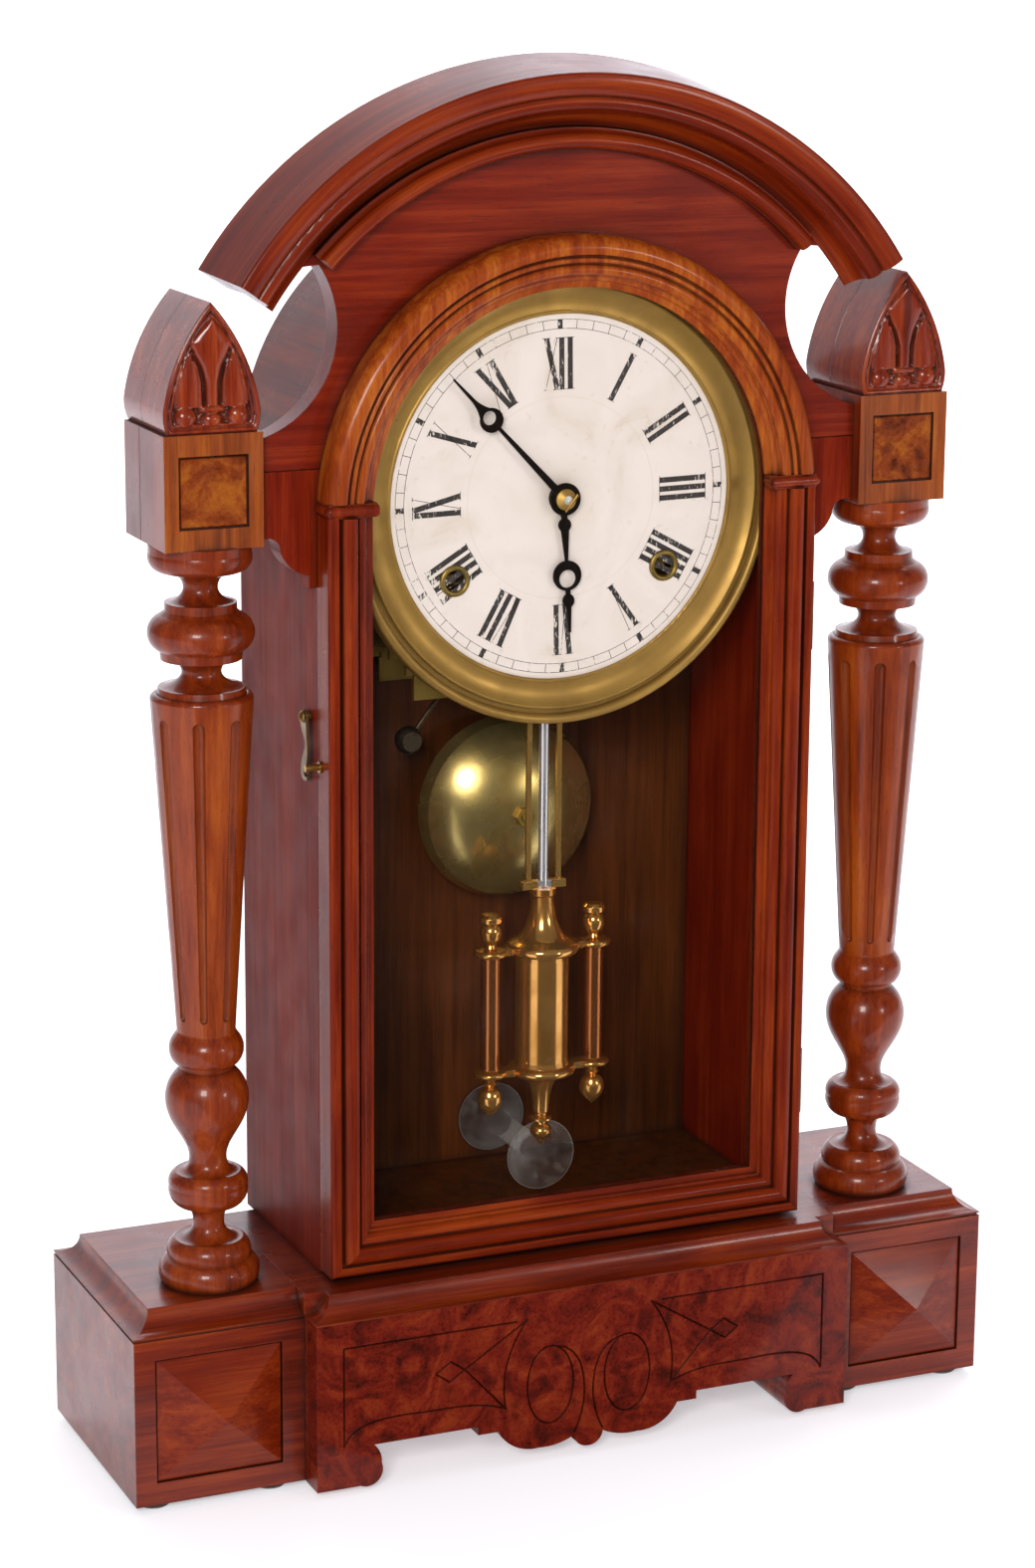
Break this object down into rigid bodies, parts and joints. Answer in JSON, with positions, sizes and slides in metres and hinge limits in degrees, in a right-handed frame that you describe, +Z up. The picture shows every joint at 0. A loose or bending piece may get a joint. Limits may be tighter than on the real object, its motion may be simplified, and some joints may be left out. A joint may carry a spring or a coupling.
{
  "type": "mantel clock",
  "caption": "Arched wooden mantel clock: plinth base, turned columns, glazed hinged door, dial with hands, striking movement and swinging pendulum.",
  "frame": {"origin": "under the middle of the base, on the surface it stands on", "axes": "+X to the viewer's right, +Y to the back, +Z up; the dial faces -Y"},
  "size_m": [0.326, 0.104, 0.485],
  "materials": {
    "walnut": "gloss varnish",
    "dark_walnut": "dark stain",
    "golden_walnut": "gloss varnish",
    "burl": "gloss varnish over burl veneer",
    "felt": "dark pad",
    "glass": "clear",
    "clear_plastic": "clear",
    "dial_enamel": "aged paper-white paint",
    "brass": "aged polish",
    "steel": "plain",
    "blued_steel": "blackened"
  },
  "bodies": {
    "case": {"base_block_left": "walnut", "base_block_right": "walnut", "pyramid_panels": "walnut", "base_center": "walnut", "apron": "burl", "foot_scrolls": "walnut", "foot_pads": "felt", "case_side_left": "walnut", "case_side_right": "walnut", "case_top": "walnut", "case_back": "dark_walnut", "case_floor": "dark_walnut", "pediment_board": "walnut", "stile_left": "walnut", "stile_right": "walnut", "cornice": "walnut", "frieze_bead": "walnut", "corner_block_left": "walnut", "corner_block_right": "walnut", "block_panels": "burl", "finial_left": "walnut", "finial_right": "walnut", "column_left": "walnut", "column_right": "walnut", "hinge_case_leaves": "brass", "latch_screw": "brass", "dial_plate": "dial_enamel", "dial_bezel": "brass", "winding_eyelets": "brass", "dial_feet": "brass", "movement_plates": "brass", "pillars": "brass", "suspension_post": "steel", "bell": "brass", "bell_post": "brass", "clear_cup": "clear_plastic"},
    "door": {"door_frame": "walnut", "door_arch": "golden_walnut", "door_collars": "walnut", "door_glass": "glass", "glass_strip": "walnut", "hinge_door_leaves": "brass", "latch_pin": "brass"},
    "hook": {"latch_hook": "brass"},
    "minute_hand_body": {"minute_hand": "blued_steel"},
    "hour_hand_body": {"hour_hand": "blued_steel"},
    "minute_wheel_body": {"minute_wheel": "brass"},
    "time_great": {"time_great_wheel": "brass"},
    "time_second": {"time_second_wheel": "brass"},
    "centre": {"centre_wheel": "brass"},
    "third": {"third_wheel": "brass"},
    "escape": {"escape_wheel": "brass"},
    "verge_body": {"verge": "steel"},
    "pendulum": {"pendulum_rods": "brass", "pendulum_bob": "brass"},
    "strike_great": {"strike_great_wheel": "brass"},
    "strike_second": {"strike_second_wheel": "brass"},
    "warning": {"warning_wheel": "brass"},
    "fly_body": {"fly": "steel"},
    "hammer_body": {"hammer": "steel"}
  },
  "joints": [
    {"name": "door_hinge", "type": "hinge", "parent": "case", "child": "door", "pos_m": [0.0917, -0.0246, 0.2], "axis": [0, 0, 1], "range_deg": [0, 90]},
    {"name": "latch_swing", "type": "hinge", "parent": "case", "child": "hook", "pos_m": [-0.0918, -0.017, 0.268], "axis": [1, 0, 0], "range_deg": [-28, 110]},
    {"name": "minute_hand_turn", "type": "hinge", "parent": "case", "child": "minute_hand_body", "pos_m": [0, 0.02, 0.337], "axis": [0, 1, 0], "continuous": true},
    {"name": "hour_hand_turn", "type": "hinge", "parent": "case", "child": "hour_hand_body", "pos_m": [0, 0.02, 0.337], "axis": [0, 1, 0], "continuous": true},
    {"name": "minute_wheel_turn", "type": "hinge", "parent": "case", "child": "minute_wheel_body", "pos_m": [0.01455, 0.02, 0.3454], "axis": [0, 1, 0], "continuous": true},
    {"name": "third_wheel_turn", "type": "hinge", "parent": "case", "child": "third", "pos_m": [0.00551, 0.02, 0.31389], "axis": [0, 1, 0], "continuous": true},
    {"name": "centre_wheel_turn", "type": "hinge", "parent": "case", "child": "centre", "pos_m": [0, 0.02, 0.337], "axis": [0, 1, 0], "continuous": true},
    {"name": "time_second_wheel_turn", "type": "hinge", "parent": "case", "child": "time_second", "pos_m": [0.02396, 0.02, 0.34105], "axis": [0, 1, 0], "continuous": true},
    {"name": "time_great_wheel_turn", "type": "hinge", "parent": "case", "child": "time_great", "pos_m": [0.039, 0.02, 0.311], "axis": [0, 1, 0], "continuous": true},
    {"name": "escape_wheel_turn", "type": "hinge", "parent": "case", "child": "escape", "pos_m": [0, 0.02, 0.293], "axis": [0, 1, 0], "continuous": true},
    {"name": "pendulum_swing", "type": "hinge", "parent": "case", "child": "pendulum", "pos_m": [0, -0.0082, 0.312], "axis": [0, 1, 0], "range_deg": [-4, 4]},
    {"name": "verge_rock", "type": "hinge", "parent": "case", "child": "verge_body", "pos_m": [0, 0.001, 0.312], "axis": [0, 1, 0], "range_deg": [-4, 4]},
    {"name": "strike_second_wheel_turn", "type": "hinge", "parent": "case", "child": "strike_second", "pos_m": [-0.02813, 0.02, 0.35157], "axis": [0, 1, 0], "continuous": true},
    {"name": "strike_great_wheel_turn", "type": "hinge", "parent": "case", "child": "strike_great", "pos_m": [-0.039, 0.02, 0.311], "axis": [0, 1, 0], "continuous": true},
    {"name": "warning_wheel_turn", "type": "hinge", "parent": "case", "child": "warning", "pos_m": [-0.01238, 0.02, 0.37034], "axis": [0, 1, 0], "continuous": true},
    {"name": "fly_turn", "type": "hinge", "parent": "case", "child": "fly_body", "pos_m": [0.00265, 0.02, 0.37581], "axis": [0, 1, 0], "continuous": true},
    {"name": "hammer_swing", "type": "hinge", "parent": "case", "child": "hammer_body", "pos_m": [-0.014, 0.02, 0.275], "axis": [0, 1, 0], "range_deg": [-13, 4]}
  ],
  "couplings": [
    {"joint": "hour_hand_turn", "follows": "minute_hand_turn", "ratio": 0.083333},
    {"joint": "minute_wheel_turn", "follows": "minute_hand_turn", "ratio": -0.33333},
    {"joint": "centre_wheel_turn", "follows": "third_wheel_turn", "ratio": -0.1},
    {"joint": "time_second_wheel_turn", "follows": "third_wheel_turn", "ratio": 0.05},
    {"joint": "time_great_wheel_turn", "follows": "third_wheel_turn", "ratio": -0.0083333},
    {"joint": "escape_wheel_turn", "follows": "third_wheel_turn", "ratio": -12.5},
    {"joint": "verge_rock", "follows": "pendulum_swing", "ratio": 1},
    {"joint": "strike_great_wheel_turn", "follows": "strike_second_wheel_turn", "ratio": -0.16667},
    {"joint": "warning_wheel_turn", "follows": "strike_second_wheel_turn", "ratio": -6},
    {"joint": "fly_turn", "follows": "strike_second_wheel_turn", "ratio": 42}
  ]
}
